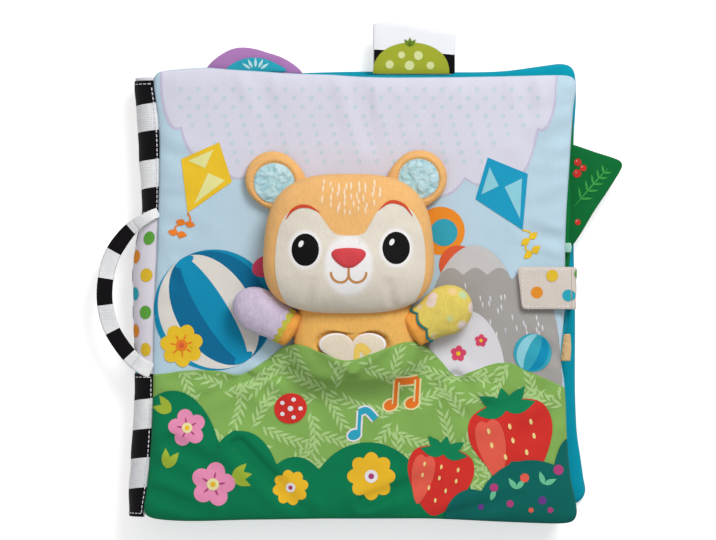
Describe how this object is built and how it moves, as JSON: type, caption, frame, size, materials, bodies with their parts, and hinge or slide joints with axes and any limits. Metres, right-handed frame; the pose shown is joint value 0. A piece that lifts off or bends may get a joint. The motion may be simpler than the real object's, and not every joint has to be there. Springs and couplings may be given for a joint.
{
  "type": "crinkle cloth book",
  "caption": "Baby's crinkle cloth book, closed: puffy covers and leaves, spine handle loop, closing strap, sewn tabs and a stuffed bear with a press button on the front.",
  "frame": {"origin": "centre of the back cover's flat outer face", "axes": "+Z out of the front cover, +Y along the spine towards the head of the book, +X from the spine to the fore-edge"},
  "size_m": [0.322, 0.3096, 0.0722],
  "materials": {
    "sky_cloth": "matte",
    "teal_cloth": "matte",
    "green_cloth": "matte",
    "leaf_print_cloth": "matte",
    "dotted_white_cloth": "matte",
    "striped_webbing": "matte",
    "bear_tan_plush": "matte",
    "bear_cream_plush": "matte",
    "blue_satin": "satin",
    "red_velour": "matte",
    "lilac_cloth": "matte",
    "yellow_cloth": "matte",
    "orange_cloth": "matte",
    "purple_cloth": "matte",
    "mint_satin": "satin",
    "polyester_wadding": "matte",
    "crinkle_film": "satin",
    "hook_and_loop": "matte",
    "white_plastic": "matte",
    "green_circuit_board": "matte",
    "steel": "matte"
  },
  "bodies": {
    "back_and_spine": {"back_cover_face": "teal_cloth", "back_cover_lining": "teal_cloth", "back_cover_wadding": "polyester_wadding", "back_cover_crinkle_film": "crinkle_film", "spine_gusset": "dotted_white_cloth", "spine_tape_upper": "striped_webbing", "spine_tape_lower": "striped_webbing"},
    "front_cover": {"front_cover_face": "sky_cloth", "front_cover_lining": "teal_cloth", "front_cover_wadding": "polyester_wadding", "front_cover_crinkle_film": "crinkle_film", "meadow_overlay": "leaf_print_cloth", "bear_head": "bear_tan_plush", "bear_muzzle": "bear_cream_plush", "bear_nose": "red_velour", "bear_ear_left": "bear_tan_plush", "bear_ear_right": "bear_tan_plush", "ear_satin_left": "blue_satin", "ear_satin_right": "blue_satin", "bear_torso": "bear_tan_plush", "sound_case": "white_plastic", "speaker": "steel", "circuit_board": "green_circuit_board", "button_cell_1": "steel", "button_cell_2": "steel", "button_cell_3": "steel", "cover_loop_patch": "hook_and_loop"},
    "leaf_1": {"leaf_1_front_face": "teal_cloth", "leaf_1_back_face": "green_cloth", "leaf_1_wadding": "polyester_wadding", "leaf_1_crinkle_film": "crinkle_film", "ribbon_loop_mint": "mint_satin", "ribbon_loop_tan": "bear_tan_plush"},
    "leaf_2": {"leaf_2_front_face": "green_cloth", "leaf_2_back_face": "teal_cloth", "leaf_2_wadding": "polyester_wadding", "leaf_2_crinkle_film": "crinkle_film"},
    "leaf_3": {"leaf_3_front_face": "teal_cloth", "leaf_3_back_face": "green_cloth", "leaf_3_wadding": "polyester_wadding", "leaf_3_crinkle_film": "crinkle_film"},
    "handle": {"handle_loop": "striped_webbing"},
    "strap_side": {"strap_side": "dotted_white_cloth"},
    "strap_flap": {"strap_flap": "dotted_white_cloth", "strap_hook_patch": "hook_and_loop"},
    "heart_button": {"heart_patch": "bear_cream_plush", "sound_button": "white_plastic"},
    "arm_left": {"arm_left_sleeve": "orange_cloth", "arm_left_mitten": "lilac_cloth"},
    "arm_right": {"arm_right_sleeve": "orange_cloth", "arm_right_mitten": "yellow_cloth"},
    "dome_flap": {"dome_flap": "purple_cloth", "dome_flap_front": "teal_cloth"},
    "striped_tab": {"striped_tab": "striped_webbing"},
    "leaf_tab": {"leaf_tab": "green_cloth"}
  },
  "joints": [
    {"name": "cover_opens", "type": "hinge", "parent": "back_and_spine", "child": "front_cover", "pos_m": [-0.1334, 0, 0.0366], "axis": [0, -1, 0], "range_deg": [0, 180]},
    {"name": "leaf_1_turns", "type": "hinge", "parent": "back_and_spine", "child": "leaf_1", "pos_m": [-0.1315, 0, 0.0232], "axis": [0, -1, 0], "range_deg": [0, 82]},
    {"name": "leaf_2_turns", "type": "hinge", "parent": "back_and_spine", "child": "leaf_2", "pos_m": [-0.1315, 0, 0.0172], "axis": [0, -1, 0], "range_deg": [0, 55]},
    {"name": "leaf_3_turns", "type": "hinge", "parent": "back_and_spine", "child": "leaf_3", "pos_m": [-0.1315, 0, 0.0112], "axis": [0, -1, 0], "range_deg": [0, 28]},
    {"name": "strap_side_opens", "type": "hinge", "parent": "back_and_spine", "child": "strap_side", "pos_m": [0.1292, 0.0055, 0.0083], "axis": [0, 1, 0], "range_deg": [0, 90]},
    {"name": "strap_flap_peels", "type": "hinge", "parent": "strap_side", "child": "strap_flap", "pos_m": [0.1258, 0.0055, 0.0397], "axis": [0, 1, 0], "range_deg": [0, 90], "deforming": ["strap_flap", "strap_hook_patch"]},
    {"name": "handle_swings", "type": "hinge", "parent": "back_and_spine", "child": "handle", "pos_m": [-0.14474, 0.0015, 0.0225], "axis": [0, -1, 0], "range_deg": [-60, 40]},
    {"name": "arm_left_waves", "type": "hinge", "parent": "front_cover", "child": "arm_left", "pos_m": [-0.04636, -0.02051, 0.04575], "axis": [0, 0, 1], "range_deg": [0, 40]},
    {"name": "arm_right_waves", "type": "hinge", "parent": "front_cover", "child": "arm_right", "pos_m": [0.02721, -0.02059, 0.04575], "axis": [0, 0, -1], "range_deg": [0, 40]},
    {"name": "heart_presses", "type": "slide", "parent": "front_cover", "child": "heart_button", "axis": [0, 0, -1], "range_m": [0, 0.002], "stiffness_N_per_m": 400},
    {"name": "dome_flap_bends", "type": "hinge", "parent": "leaf_1", "child": "dome_flap", "pos_m": [-0.07066, 0.1386, 0.0232], "axis": [1, 0, 0], "range_deg": [-30, 30], "stiffness_Nm_per_rad": 0.01},
    {"name": "striped_tab_bends", "type": "hinge", "parent": "leaf_2", "child": "striped_tab", "pos_m": [0.02886, 0.1386, 0.0172], "axis": [1, 0, 0], "range_deg": [-30, 30], "stiffness_Nm_per_rad": 0.01},
    {"name": "leaf_tab_bends", "type": "hinge", "parent": "leaf_2", "child": "leaf_tab", "pos_m": [0.1219, 0.06278, 0.0172], "axis": [0, -1, 0], "range_deg": [-30, 30], "stiffness_Nm_per_rad": 0.01}
  ],
  "couplings": [
    {"joint": "leaf_1_turns", "follows": "cover_opens", "ratio": 0.45},
    {"joint": "leaf_2_turns", "follows": "cover_opens", "ratio": 0.3},
    {"joint": "leaf_3_turns", "follows": "cover_opens", "ratio": 0.15}
  ]
}
